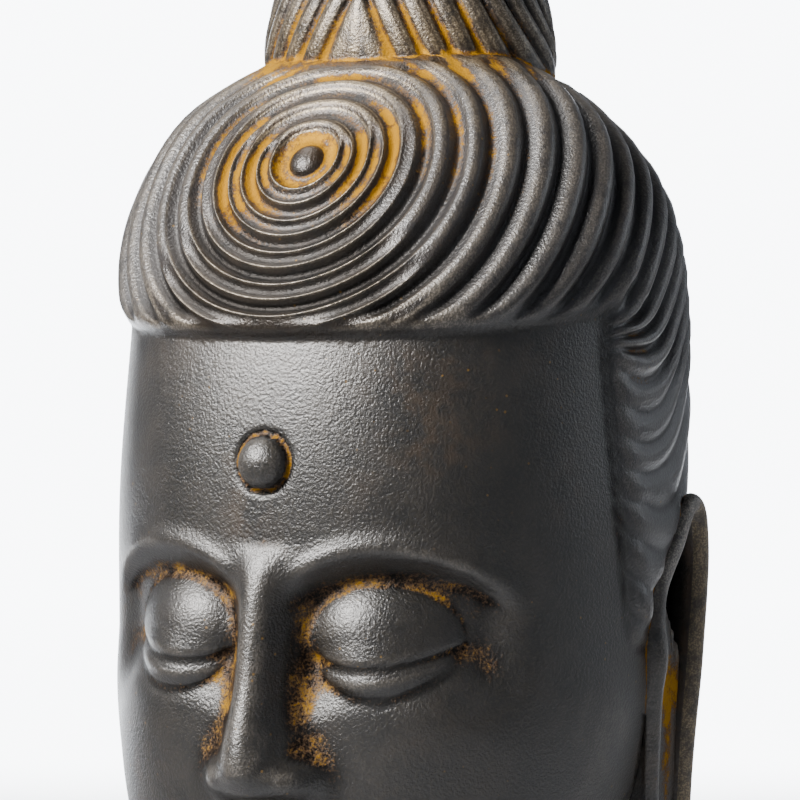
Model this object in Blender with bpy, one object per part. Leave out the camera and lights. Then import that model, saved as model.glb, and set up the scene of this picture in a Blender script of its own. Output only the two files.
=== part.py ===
"""A cast head with a topknot, ringed hair and long ears, standing on its flat neck.

The whole head is one closed solid. Its surface is found along rays that leave a spine inside it, and
every form on it is a function of named sizes. Metres, +Z up, the face towards -Y, the underside on Z = 0.
"""
import bpy
import bmesh
import numpy as np
from math import radians, pi

# Driving sizes of the head, in metres
NECK_HEIGHT = 0.060          # underside to the bottom of the chin
FACE_THIRD = 0.090           # hairline to brow, brow to nose base, nose base to chin
HAIR_HALF_WIDTH = 0.1216     # outside of the hair above the ears
HAIR_FRONT = 0.1290          # front of the hairline roll, ahead of the head's axis
HAIR_BACK = 0.1260           # back of the hair, behind the axis
CROWN_RISE = 0.1280          # hairline to the top of the crown
CROWN_AHEAD = 0.0140         # the widest part of the crown, ahead of the axis
HAIR_THICK = 0.0070          # the cap of hair over the skull
SIDE_HAIR_THICK = 0.0045     # the hair in front of and behind the ears
NECK_HALF_WIDTH = 0.0740
NECK_HALF_DEPTH = 0.0660
NECK_BACK_SHIFT = 0.0150     # the neck's middle, behind the axis
NECK_FLARE = 0.0110          # how far the neck widens at the underside

# Topknot
KNOT_HALF_WIDTH = 0.0650
KNOT_HALF_DEPTH = 0.0520
KNOT_HEIGHT = 0.0860         # above the seat, where it rises from the hair
KNOT_SEAT = 0.1140           # the seat above the hairline
KNOT_ROOT = 0.0300           # how far it reaches down inside the head
KNOT_STRANDS = 30
KNOT_STRAND_DEPTH = 0.0036
KNOT_LEAN = 0.50             # sideways run of a strand for each length down

# Ears, by the middle line of the rim
EAR_LENGTH = 0.1685
EAR_TOP_DROP = 0.0695        # hairline to the top of that line
EAR_PLANE = 0.1178           # how far out it stands, on the axis
EAR_FLARE = 0.15             # how much further each length back stands off
EAR_TUCK = 0.0025            # how much closer the lobe lies to the head
EAR_RIM = 0.0046             # radius of the rim
EAR_HOLLOW = 0.0100          # depth of the hollow inside it
EAR_ROOT = 0.0090            # how far it is sunk into the head
EAR_BODY = 0.0240            # thickness of the ear, where it stands off the head
LOBE_BODY = 0.0095           # and of the lobe

# Boss on the forehead
BOSS_RADIUS = 0.0105
BOSS_DROP = 0.0480           # hairline to the middle of the boss
BOSS_PROUD = 0.0080

# Rings of hair: angles are seen from the middle of the skull
WHORL_BACK = 0.0944          # the whorl's middle ahead of the axis
WHORL_RISE = 0.0741          # and above the hairline
SKULL_CENTRE_DROP = 0.0500   # middle of the skull, below the hairline
BUTTON_ANGLE = radians(4.2)  # the first groove, round the whorl's button
RING_PITCH = radians(4.8)    # one strand of the inner rings
PITCH_CHANGE = radians(0.6)  # how much wider a strand is in front, and narrower behind
SIDE_PITCH = radians(4.85)   # one strand, further out
FRONT_STRANDS = 5            # strands between the button and the hairline
SIDE_STRANDS = 12.6          # strands from the ring at right angles to the whorl down to the neck
GROOVE_DEPTH = 0.0034
ROLL_DEPTH = 0.0038
BUTTON_PROUD = 0.0036
BUTTON_SHARE = 0.80          # of the way out to the first groove

# Heights in the head, above the underside
CHIN = NECK_HEIGHT
HAIRLINE = CHIN + 3 * FACE_THIRD
BROW = HAIRLINE - FACE_THIRD
NOSE_BASE = BROW - FACE_THIRD
CENTRE = HAIRLINE - SKULL_CENTRE_DROP
EYE_WIDTH = 0.366 * HAIR_HALF_WIDTH

# Levels count strands out from the button's edge: at TURN the rays leave the whorl at right angles
TURN = FRONT_STRANDS + (pi / 2 - BUTTON_ANGLE - FRONT_STRANDS * RING_PITCH) / SIDE_PITCH
NECK_TOP = TURN + SIDE_STRANDS
BOTTOM = NECK_TOP + 3.0

# Mesh density of the carving, before it is thinned to KEEP of its faces
FACE_COLUMNS = 72            # over the front quarter
SIDE_COLUMNS = 20            # on each side, to behind the ear
BACK_COLUMNS = 36            # over the back
STRAND_ROWS = 4
NECK_ROWS = 6
KEEP = 0.165

DARK_CAST = (0.055, 0.047, 0.042)


def smooth(low, high, value):
    """0 below low, 1 above high, and an S-shaped rise between."""
    t = np.clip((value - low) / (high - low), 0.0, 1.0)
    return t * t * (3.0 - 2.0 * t)


def bell(value, width):
    """A bell curve of height 1."""
    return np.exp(-(value / width) ** 2)


def dome(value, power):
    """A rounded cap: 1 where value is 0, down to 0 where it is 1."""
    return np.clip(1.0 - value, 0.0, 1.0) ** power


def through(value, places, sizes):
    """A smooth curve through the sizes at the places, with no overshoot between them."""
    places = np.asarray(places, float)
    sizes = np.asarray(sizes, float)
    step = np.diff(places)
    slope = np.diff(sizes) / step
    lean = np.zeros(len(places))
    same = slope[:-1] * slope[1:] > 0
    total = np.where(same, slope[:-1] + slope[1:], 1.0)
    lean[1:-1] = np.where(same, 2.0 * slope[:-1] * slope[1:] / total, 0.0)
    lean[0], lean[-1] = slope[0], slope[-1]
    value = np.clip(value, places[0], places[-1])
    k = np.clip(np.searchsorted(places, value) - 1, 0, len(step) - 1)
    t = (value - places[k]) / step[k]
    blend = t * t * (3.0 - 2.0 * t)
    near = step[k] * lean[k] * t * (1.0 - t) ** 2
    far = step[k] * lean[k + 1] * t * t * (t - 1.0)
    return sizes[k] * (1.0 - blend) + sizes[k + 1] * blend + near + far


def soft_min(a, b, reach):
    """The smaller of two fields, rounded where they cross."""
    h = np.clip(0.5 + 0.5 * (b - a) / reach, 0.0, 1.0)
    return b * (1.0 - h) + a * h - reach * h * (1.0 - h)


def brows_and_eyes(side, z):
    """Sockets under arched brows, and round eyes with lowered lids, a quarter third under the brow."""
    third, eye = FACE_THIRD, EYE_WIDTH
    eye_height = BROW - 0.26 * third
    arch = BROW + 0.10 * third - 0.165 * third * ((side - 1.12 * eye) / (0.84 * eye)) ** 2
    below = arch - z
    socket = smooth(0.0, 0.10 * third, below) * (1.0 - smooth(0.30 * third, 0.62 * third, below))
    socket = socket * smooth(0.16 * eye, 0.50 * eye, side) * (1.0 - smooth(1.75 * eye, 2.15 * eye, side))
    relief = -0.110 * third * socket
    ridge = smooth(0.2 * eye, 0.5 * eye, side) * (1.0 - smooth(1.6 * eye, 2.1 * eye, side))
    relief += 0.017 * third * bell(below + 0.021 * third, 0.047 * third) * ridge

    ball = ((side - eye) / (0.68 * eye)) ** 2 + ((z - eye_height) / (0.235 * third)) ** 2
    relief += 0.131 * third * dome(ball, 0.75)
    lid = eye_height - 0.055 * third - 0.075 * third * (1.0 - ((side - eye) / (0.5 * eye)) ** 2)
    along = 1.0 - smooth(0.50 * eye, 0.62 * eye, np.abs(side - eye))
    fold = 0.017 * bell(z - lid - 0.034 * third, 0.032 * third)
    fold = fold - 0.038 * bell(z - lid, 0.017 * third)
    fold = fold + 0.013 * bell(z - lid + 0.042 * third, 0.032 * third)
    return relief + third * fold * along


def nose(side, z):
    """A straight bridge that widens to rounded wings a third below the brow."""
    third = FACE_THIRD
    above = (z - NOSE_BASE) / third
    height = third * through(above, [-0.10, -0.02, 0.05, 0.15, 0.55, 0.96, 1.12],
                             [0.0, 0.063, 0.253, 0.300, 0.168, 0.074, 0.0])
    broad = third * through(above, [0.0, 0.12, 0.45, 0.90, 1.10], [0.158, 0.158, 0.105, 0.086, 0.126])
    relief = height * np.exp(-0.75 * (side / broad) ** 2.4)
    wing = ((side - 0.40 * EYE_WIDTH) / (0.090 * third)) ** 2 + ((above - 0.085) / 0.105) ** 2
    relief += 0.126 * third * dome(wing, 0.6)
    return relief - 0.032 * third * bell(side - 0.20 * EYE_WIDTH, 0.044 * third) * bell(above + 0.021, 0.036)


def mouth(side, z):
    """Full closed lips a third of the way from the nose to the chin, and the hollows round them."""
    third = FACE_THIRD
    middle = NOSE_BASE - third / 3.0
    half = 0.70 * EYE_WIDTH
    part = middle + 0.030 * third * (side / half) ** 2 - 0.010 * third * bell(side, 0.25 * half)
    relief = 0.063 * third * bell(side, 0.40 * third) * bell(z - middle, 0.25 * third)
    reach = np.clip(1.0 - (side / half) ** 2, 0.0, 1.0)
    bow = third * np.maximum(0.092 * reach ** 0.8 * (1.0 - 0.22 * bell(side, 0.14 * half)), 0.001)
    full = third * np.maximum(0.118 * np.clip(1.0 - (side / (0.86 * half)) ** 2, 0.0, 1.0) ** 0.6, 0.001)
    upper = np.clip((z - part) / bow, 0.0, 1.0)
    lower = np.clip((part - z) / full, 0.0, 1.0)
    lips = 0.046 * np.sin(pi * upper) ** 0.7 + 0.061 * np.sin(pi * lower) ** 0.7
    relief += third * lips * smooth(0.0, 0.4, reach)
    relief -= 0.032 * third * bell(z - part, 0.016 * third) * (1.0 - smooth(0.92 * half, 1.12 * half, side))
    relief -= 0.023 * third * bell(side - 1.08 * half, 0.053 * third) * bell(z - part, 0.063 * third)
    groove = smooth(0.09 * third, 0.14 * third, z - middle) * smooth(0.0, 0.05 * third, NOSE_BASE - z)
    relief -= 0.013 * third * bell(side, 0.034 * third) * groove
    relief -= 0.042 * third * bell(z - middle + 0.215 * third, 0.068 * third) * bell(side, 0.25 * third)
    return relief


def face_relief(x, z):
    """How far the features stand ahead of the plain front of the skull.

    The places are a canon: the face is three thirds high and five eyes wide.
    """
    side = np.abs(x)
    third = FACE_THIRD
    relief = brows_and_eyes(side, z) + nose(side, z) + mouth(side, z)
    relief += 0.068 * third * bell(z - CHIN - 0.23 * third, 0.179 * third) * bell(x, 0.23 * third)
    cheek = bell(side - 1.35 * EYE_WIDTH, 0.32 * third) * bell(z - NOSE_BASE - 0.33 * third, 0.32 * third)
    relief += 0.047 * third * cheek
    boss = np.sqrt(x ** 2 + (z - HAIRLINE + BOSS_DROP) ** 2) / BOSS_RADIUS
    return relief + BOSS_PROUD * dome(boss ** 2, 0.5) - 0.15 * BOSS_PROUD * bell(boss - 1.10, 0.14)


def skull(x, y, z):
    """The bare head without its neck: an oval at every height, with the face's relief in front."""
    rise = z - HAIRLINE
    skull_top = CROWN_RISE - 0.7 * HAIR_THICK
    down = -rise / (3.0 * FACE_THIRD)
    side_dome = 1.0 - np.clip((rise - 0.26 * skull_top) / (0.74 * skull_top), 0.0, 1.0) ** 2
    front_dome = 1.0 - np.clip((rise + 0.55 * skull_top) / (1.55 * skull_top), 0.0, 1.0) ** 2
    back_dome = 1.0 - np.clip(rise / skull_top, 0.0, 1.0) ** 2
    jaw = 1.0 - np.clip((down - 0.815) / 0.185, 0.0, 1.0) ** 2
    nearly = 1e-8

    half = (HAIR_HALF_WIDTH - HAIR_THICK) * through(down, [-0.1, 0.0, 0.33, 0.50, 0.66, 0.79, 0.88, 1.0],
                                                    [1.0, 0.99, 1.02, 1.02, 0.97, 0.875, 0.76, 0.62])
    half = half * np.sqrt(np.maximum(side_dome, nearly)) * np.sqrt(np.maximum(jaw, nearly))
    front = 1.073 * (HAIR_FRONT - HAIR_THICK) * np.sqrt(np.maximum(front_dome, nearly))
    front = front * through(down, [0.0, 0.3, 0.6, 0.8, 0.9, 1.0], [1.0, 1.005, 0.985, 0.968, 0.935, 0.90])
    back = (HAIR_BACK - HAIR_THICK) * np.sqrt(np.maximum(back_dome, nearly))
    back = back * through(down, [0.0, 0.17, 0.35, 0.50, 0.65, 0.80, 1.0],
                          [1.0, 0.985, 0.90, 0.76, 0.56, 0.30, -0.10])
    middle = -0.54 * HAIR_BACK * through(down, [0.45, 0.80, 1.0], [0.0, 0.44, 1.0])
    middle = middle - CROWN_AHEAD * smooth(0.42 * CROWN_RISE, 0.75 * CROWN_RISE, rise)

    ahead = smooth(0.0, 0.060, -y)
    yy = y + face_relief(x, z) * ahead - middle
    reach = np.where(yy < 0.0, front + middle, back - middle) * np.sqrt(np.maximum(jaw, nearly))
    ratio = half / np.maximum(reach, nearly)
    behind = through(rise / CROWN_RISE, [-0.45, -0.2, 0.0, 0.2, 0.42, 0.8], [2.0, 2.2, 2.2, 2.0, 1.8, 1.9])
    power = np.where(yy < 0.0, 2.25, behind)
    field = (np.abs(x) ** power + (np.abs(yy) * ratio) ** power) ** (1.0 / power) - half
    return field + np.maximum(rise - skull_top, 0.0) + np.maximum(CHIN - z, 0.0)


def head_field(p):
    """Negative inside the bare head and neck, positive outside, close to a distance near the skin."""
    x, y, z = p[..., 0], p[..., 1], p[..., 2]
    flare = NECK_FLARE * np.clip(1.0 - z / (0.62 * NECK_HEIGHT), 0.0, 1.0) ** 2
    wide = NECK_HALF_WIDTH + flare
    deep = NECK_HALF_DEPTH + flare
    neck = np.sqrt(x ** 2 + ((y - NECK_BACK_SHIFT) * wide / deep) ** 2) - wide
    neck = np.maximum(neck, z - BROW)
    return soft_min(skull(x, y, z), neck, 0.020)


def spine(level, turn):
    """Where the rays of a level start, and how they fan: origin, tilt of the axis, and cone angle.

    Up to TURN the rays make cones round the whorl's axis from the middle of the skull. From there they
    lie in planes that turn level on the way down to the neck, and stay level down to the underside.
    """
    lift = np.arctan2(WHORL_RISE + SKULL_CENTRE_DROP, WHORL_BACK)
    pitch = RING_PITCH + PITCH_CHANGE * np.cos(turn)
    last_ring = BUTTON_ANGLE + FRONT_STRANDS * pitch
    onward = (level - FRONT_STRANDS) * (pi / 2 - last_ring) / (TURN - FRONT_STRANDS)
    cone = np.where(level < FRONT_STRANDS, BUTTON_ANGLE + level * pitch, last_ring + onward)
    cone = np.where(level < 0.0, BUTTON_ANGLE * (1.0 + level), np.minimum(cone, pi / 2))
    part = np.clip((level - TURN) / (NECK_TOP - TURN), 0.0, 1.0)
    last = np.clip((level - NECK_TOP) / (BOTTOM - NECK_TOP), 0.0, 1.0)
    start_z = CENTRE + (CHIN - CENTRE) * part - CHIN * last
    return NECK_BACK_SHIFT * part, start_z, (pi / 2 - lift) * (1.0 - part), cone


def skin_along(start, ray):
    """Where each ray leaves the bare head, found by halving."""
    near = np.zeros(ray.shape[:-1])
    far = np.full(ray.shape[:-1], 1.4 * (HAIR_FRONT + CROWN_RISE))
    for _ in range(26):
        half = 0.5 * (near + far)
        inside = head_field(start + ray * half[..., None]) < 0.0
        near = np.where(inside, half, near)
        far = np.where(inside, far, half)
    return start + ray * near[..., None]


def shoot(level, turn):
    """Points on the bare head at each level and turn."""
    start_y, start_z, tilt, cone = spine(level, turn)
    ray = np.stack([np.sin(cone) * np.sin(turn),
                    -np.cos(cone) * np.sin(tilt) - np.sin(cone) * np.cos(turn) * np.cos(tilt),
                    np.cos(cone) * np.cos(tilt) - np.sin(cone) * np.cos(turn) * np.sin(tilt)], axis=-1)
    start = np.stack([np.zeros_like(start_y), start_y, start_z], axis=-1)
    return skin_along(start, ray)


def outward(p):
    """The direction straight out of the bare head at points on it."""
    step = 0.0008
    base = head_field(p)
    lean = np.stack([head_field(p + step * axis) - base for axis in np.eye(3)], axis=-1)
    return lean / np.linalg.norm(lean, axis=-1, keepdims=True)


def round_head(p):
    """The angle round the head's axis from the face, and the height above the hairline."""
    return np.arctan2(np.abs(p[..., 0]), -p[..., 1]), p[..., 2] - HAIRLINE


def garland(p):
    """How many strands the hair beside the face is pushed on, so that its strands hang in U shapes."""
    angle, rise = round_head(p)
    fold = radians(97.0)
    run = (fold - np.clip(angle, radians(70.0), fold)) * smooth(radians(35.0), radians(70.0), angle) ** 0.5
    push = 12.5 * run ** 2
    return push * (1.0 - smooth(-0.010, 0.014, rise)) * (1.0 - smooth(0.135, 0.200, -rise))


def hairline_edge(angle):
    """How high the hairline lies above its front, at each angle round the head."""
    return 0.0086 * np.minimum(angle / radians(65.0), 1.2) ** 2


def hair_thickness(p):
    """How far the smooth body of the hair stands off the bare head, 0 outside the hair.

    The cap ends in a rounded edge, tight in front and longer towards the temples, and the hair beside
    the face runs out softly ahead.
    """
    angle, rise = round_head(p)
    cap = HAIR_THICK + (SIDE_HAIR_THICK - HAIR_THICK) * smooth(radians(62.0), radians(90.0), angle)
    temple = smooth(radians(35.0), radians(60.0), angle)
    temple = temple * (1.0 - smooth(radians(70.0), radians(80.0), angle))
    share = np.clip((rise - hairline_edge(angle)) / (0.0085 + 0.0215 * temple), 0.0, 1.0)
    cap = cap * (1.0 - (1.0 - share) ** (3.2 - 1.2 * temple))
    low = -0.128 - 0.037 * smooth(radians(86.0), radians(104.0), angle)
    ahead = radians(67.0) + radians(7.5) * np.clip(-rise / 0.13, 0.0, 1.5) ** 1.5
    inner = np.minimum(HAIR_HALF_WIDTH * (angle - ahead), rise - low)
    side = SIDE_HAIR_THICK * smooth(0.0, 0.012, inner)
    return np.maximum(cap, side)


def strand_relief(level, turn):
    """The carving: each strand is a band between two crests, and the strands meet in grooves.

    In front the band is a shallow hollow and the groove a steep trough, so that the crests are sharp.
    At the sides the band swells to a roll, and behind the whorl the two crests close to one. The button
    is a low dome in the first groove.
    """
    along = level - np.floor(level)
    edge = np.minimum(along, 1.0 - along)
    off = np.abs(turn)
    bold = smooth(radians(38.0), radians(72.0), off) * (1.0 - smooth(radians(120.0), radians(150.0), off))
    bold = np.maximum(bold, smooth(6.0, 7.5, level)) * smooth(1.0, 4.0, level)
    behind = smooth(radians(95.0), radians(140.0), off) * (1.0 - bold)
    width = 0.27 + 0.02 * bold + 0.14 * behind
    deep = GROOVE_DEPTH + (ROLL_DEPTH - GROOVE_DEPTH) * bold - 0.25 * GROOVE_DEPTH * behind
    hollow = 0.5 * GROOVE_DEPTH * smooth(0.4, 2.0, level) * (1.0 - 1.2 * behind) * (1.0 - bold)
    hollow = hollow - 0.30 * ROLL_DEPTH * bold
    trough = -deep * (1.0 - np.minimum(edge / width, 1.0) ** (2.0 - 0.7 * bold))
    band = -hollow * (1.0 - np.minimum((0.5 - edge) / (0.5 - width), 1.0) ** 2)
    outer = np.clip(1.0 + level, 0.0, 1.0) / BUTTON_SHARE
    button = BUTTON_PROUD * np.clip(1.0 - outer ** 2, 0.0, 1.0) ** 0.5 - GROOVE_DEPTH
    return np.where(level < 0.0, button, trough + band)


def columns():
    """Turns of the columns: close over the face, wider at the sides and back."""
    front = np.linspace(-radians(45.0), radians(45.0), FACE_COLUMNS + 1)
    side = np.linspace(radians(45.0), radians(110.0), SIDE_COLUMNS + 1)[1:]
    back = np.linspace(radians(110.0), radians(250.0), BACK_COLUMNS + 1)[1:]
    last = np.linspace(radians(250.0), radians(315.0), SIDE_COLUMNS + 1)[1:-1]
    return np.concatenate([front, side, back, last])


def rows():
    """Levels of the rows: round the button, down the strands, and in wider steps down the neck."""
    button = np.array([-0.97, -0.55, -0.25])
    strands = np.arange(0.0, NECK_TOP, 1.0 / STRAND_ROWS)
    return np.concatenate([button, strands, np.linspace(NECK_TOP, BOTTOM, NECK_ROWS)])


def settle(levels, turns):
    """Where along each column the rows lie, so that they follow the strands as these fold in garlands."""
    steps = np.linspace(-0.999, BOTTOM, 240)
    grid, turn = np.meshgrid(steps, turns, indexing="ij")
    pushed = np.maximum.accumulate(grid + garland(shoot(grid, turn)), axis=0)
    return np.stack([np.interp(levels, pushed[:, k], steps) for k in range(len(turns))], axis=1)


def head_surface():
    """Points of the head, row by row from the whorl to the underside."""
    levels = rows()
    turns = columns()
    along = settle(levels, turns)
    turn = np.broadcast_to(turns, along.shape)
    skin = shoot(along, turn)
    beside = smooth(0.5, 0.7, np.abs(skin[..., 0]) / HAIR_HALF_WIDTH)
    thick = hair_thickness(skin) * (1.0 - covered(skin[..., 1], skin[..., 2]) * beside)
    hair = smooth(0.0, 0.6, thick / SIDE_HAIR_THICK)
    level = np.broadcast_to(levels[:, None], along.shape)
    carve = strand_relief(level, (turn + pi) % (2 * pi) - pi)
    return skin + outward(skin) * (thick + hair * carve)[..., None]


def material(name, colour, rough):
    finish = bpy.data.materials.new(name)
    finish.use_nodes = True
    shader = finish.node_tree.nodes["Principled BSDF"]
    shader.inputs["Base Color"].default_value = (*colour, 1.0)
    shader.inputs["Roughness"].default_value = rough
    shader.inputs["Metallic"].default_value = 0.0
    return finish


def ball_object(name, collection, across, along):
    """A sphere primitive, with the row and column of each vertex counted from its pole."""
    bm = bmesh.new()
    bmesh.ops.create_uvsphere(bm, u_segments=across, v_segments=along, radius=1.0)
    mesh = bpy.data.meshes.new(name)
    bm.to_mesh(mesh)
    bm.free()
    body = bpy.data.objects.new(name, mesh)
    collection.objects.link(body)
    ball = np.empty(len(mesh.vertices) * 3)
    mesh.vertices.foreach_get("co", ball)
    ball = ball.reshape(-1, 3)
    row = np.rint(np.arccos(np.clip(ball[:, 2], -1.0, 1.0)) / pi * along).astype(int)
    column = np.rint(np.arctan2(ball[:, 1], ball[:, 0]) / (2 * pi) * across).astype(int) % across
    return body, row, column


def reshape(body, points):
    body.data.vertices.foreach_set("co", points.astype(np.float32).ravel())
    body.data.update()


def head(collection):
    """The head as a ball whose rows are the rings of its surface, closed flat by the underside."""
    surface = head_surface()
    count, across = surface.shape[:2]
    body, row, column = ball_object("buddha_head", collection, across, count + 1)
    surface[-1, :, 2] = 0.0
    whorl = surface[0].mean(axis=0)
    seat = surface[-1].mean(axis=0)
    points = np.where((row == 0)[:, None], whorl, seat)
    ring = (row > 0) & (row <= count)
    points[ring] = surface[row[ring] - 1, column[ring]]
    reshape(body, points)
    return body


def topknot(collection):
    """A fluted bun: an upright superellipse over an oval. Its flutes lean off its front as they fall.

    Round the sides the flutes end in hooks.
    """
    across, along = KNOT_STRANDS * 2, 12
    body, row, column = ball_object("topknot", collection, across, along)
    turn = 2 * pi * column / across
    lowest = along - 1
    high = np.clip(1.0 - (row / lowest) ** 1.5, 0.0, 1.0)
    size = np.clip(1.0 - high ** 2.0, 0.0, 1.0) ** (1.0 / 2.2)
    off = np.minimum(turn, 2 * pi - turn)
    fan = smooth(0.0, 0.10, off) * (1.0 - smooth(pi - 0.5, pi, off))
    lean = KNOT_LEAN * KNOT_HEIGHT * (0.27 - high) / KNOT_HALF_WIDTH
    hook = 0.42 * smooth(0.7, 1.5, off) * np.clip(1.0 - high / 0.36, 0.0, 1.0) ** 2
    run = np.where(turn < pi, 1.0, -1.0) * fan * (lean + hook)
    flute = 0.5 - np.abs(np.cos(0.5 * KNOT_STRANDS * turn))
    flute = KNOT_STRAND_DEPTH * flute * smooth(0.15, 0.5, size)
    x = (KNOT_HALF_WIDTH * size + flute) * np.sin(turn + run)
    y = -(KNOT_HALF_DEPTH * size ** 1.5 + flute) * np.cos(turn + run)
    z = HAIRLINE + KNOT_SEAT + KNOT_HEIGHT * high - np.where(row >= lowest, KNOT_ROOT, 0.0)
    middle = np.where(row == along, 0.0, 1.0)
    reshape(body, np.stack([x * middle, y * middle, z], axis=-1))
    return body


def ear_edges(turn):
    """How far behind the axis the front and back lines of the rim lie, from the ear's top to its foot."""
    back = through(turn, [0.0, 0.2, 0.45, 0.77, 1.02, 1.25, 1.45, 1.65, 1.88, 2.09, 2.6, pi],
                   [0.0225, 0.0262, 0.0292, 0.0304, 0.0290, 0.0265, 0.0245, 0.0225, 0.0215, 0.0208,
                    0.0185, 0.0080])
    front = through(turn, [0.0, 0.2, 0.45, 0.61, 0.80, 0.96, 1.14, 1.29, 1.42, 1.65, 2.09, 2.6, pi],
                    [0.0225, 0.0190, 0.0140, 0.0095, 0.0005, -0.0065, -0.0090, -0.0104, -0.0104,
                     -0.0085, -0.0065, -0.0030, 0.0080])
    return front, back


def covered(y, z):
    """1 where the ear lies over the hair, 0 ahead of it."""
    down = (HAIRLINE - EAR_TOP_DROP - z) / EAR_LENGTH
    front, back = ear_edges(np.arccos(np.clip(1.0 - 2.0 * down, -1.0, 1.0)))
    across = (y - front) / np.maximum(back - front, 0.004)
    cover = smooth(-0.24, -0.06, across) * (1.0 - smooth(0.76, 0.90, across))
    return cover * smooth(0.02, 0.08, down) * (1.0 - smooth(0.95, 1.05, down))


def ear_plane(y, z):
    """How far out the middle line of the ear's rim stands at each place."""
    down = (HAIRLINE - EAR_TOP_DROP - z) / EAR_LENGTH
    return EAR_PLANE + EAR_FLARE * y - EAR_TUCK * smooth(0.35, 0.80, down)


def ear(collection, side):
    """A long ear: a ball whose rows are a hollow floor, a rim round its outline and a root behind it."""
    floor, rim, root = 3, 4, 2
    across, along = 32, floor + rim + root + 1
    body, row, column = ball_object("ear", collection, across, along)
    turn = 2 * pi * np.arange(across) / across
    fall = np.minimum(turn, 2 * pi - turn)
    down = 0.5 * (1.0 - np.cos(fall))
    front, back = ear_edges(fall)
    edge_y = np.where(turn > pi, front, back)
    edge_z = HAIRLINE - EAR_TOP_DROP - EAR_LENGTH * down
    step_y = np.roll(edge_y, -1) - np.roll(edge_y, 1)
    step_z = np.roll(edge_z, -1) - np.roll(edge_z, 1)
    length = np.hypot(step_y, step_z)
    inward_y, inward_z = step_z / length, -step_y / length
    middle_y, middle_z = 0.012, HAIRLINE - EAR_TOP_DROP - 0.45 * EAR_LENGTH
    hollow = EAR_HOLLOW * (1.0 - 0.5 * smooth(0.35, 0.75, down))
    rings = [np.stack([0.0 * turn + ear_plane(middle_y, middle_z) - EAR_HOLLOW, 0.0 * turn + middle_y,
                       0.0 * turn + middle_z], axis=-1)]
    for share in (0.35, 0.7, 0.9):
        y = middle_y + (edge_y + EAR_RIM * inward_y - middle_y) * share
        z = middle_z + (edge_z + EAR_RIM * inward_z - middle_z) * share
        rings.append(np.stack([ear_plane(y, z) - hollow, y, z], axis=-1))
    for bend in np.linspace(0.0, pi, rim):
        y = edge_y + EAR_RIM * inward_y * np.cos(bend)
        z = edge_z + EAR_RIM * inward_z * np.cos(bend)
        rings.append(np.stack([ear_plane(y, z) + EAR_RIM * np.sin(bend), y, z], axis=-1))
    narrowing = 1.6 - 1.3 * (turn > pi) * smooth(0.12, 0.30, down)
    for share in (0.6, 1.0):
        y = edge_y + EAR_RIM * inward_y * (narrowing * share - 1.0)
        z = edge_z + EAR_RIM * inward_z * (narrowing * share - 1.0)
        outer = ear_plane(edge_y, edge_z)
        body_thick = EAR_BODY - (EAR_BODY - LOBE_BODY) * smooth(0.60, 0.80, down)
        thick = np.minimum(outer - side_of_head(y, z) + EAR_ROOT, body_thick)
        rings.append(np.stack([outer - thick * share, y, z], axis=-1))
    last = rings[-1].mean(axis=0)
    rings.append(np.broadcast_to(last, rings[-1].shape))
    points = np.array(rings)[row, column]
    points[:, 0] *= side
    reshape(body, points)
    if side > 0:
        body.data.flip_normals()
    return body


def side_of_head(y, z):
    """How far out the bare head's side lies at each place."""
    start = np.stack([np.zeros_like(y), y, z], axis=-1)
    ray = np.broadcast_to(np.array([1.0, 0.0, 0.0]), start.shape)
    return skin_along(start, ray)[..., 0]


def join(body, tools, solver):
    """Make one solid of the head and what was modelled beside it."""
    for tool in tools:
        union = body.modifiers.new("join_" + tool.name, "BOOLEAN")
        union.operation = "UNION"
        union.solver = solver
        union.object = tool
        tool.hide_render = True
        tool.display_type = "WIRE"


def main():
    for old in list(bpy.data.objects):
        bpy.data.objects.remove(old)
    parts = bpy.data.collections.new("buddha_head_sculpture")
    cutters = bpy.data.collections.new("cutters")
    bpy.context.scene.collection.children.link(parts)
    bpy.context.scene.collection.children.link(cutters)

    body = head(parts)
    thin = body.modifiers.new("thin", "DECIMATE")
    thin.ratio = KEEP
    knot = topknot(cutters)
    ears = [ear(cutters, 1.0), ear(cutters, -1.0)]
    join(body, [knot], "MANIFOLD")
    join(body, ears, "EXACT")
    stand = bpy.data.objects.new("middle_of_underside", None)
    parts.objects.link(stand)
    for piece in [body, knot, *ears]:
        piece.parent = stand
    bpy.context.view_layer.update()
    corners = body.evaluated_get(bpy.context.evaluated_depsgraph_get()).bound_box
    stand.location.y = -0.5 * (corners[0][1] + corners[6][1])
    body.data.materials.append(material("dark_cast", DARK_CAST, 0.5))
    body.data.shade_smooth()
    body.data.set_sharp_from_angle(angle=radians(50.0))


main()
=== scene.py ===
"""The finished looks of a cast head with a topknot, ringed hair and long ears.

The head is one surface in metres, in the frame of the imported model: +Z up, the face towards -Y.
Its points lie where rays from a spine inside it leave a field, and the hair, the features and the
ears are functions of named sizes. The surface carries marks, one number a vertex, that say where
it is a groove or a crest, and the patina reads them.
"""
from math import cos, pi, radians, sin

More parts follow.
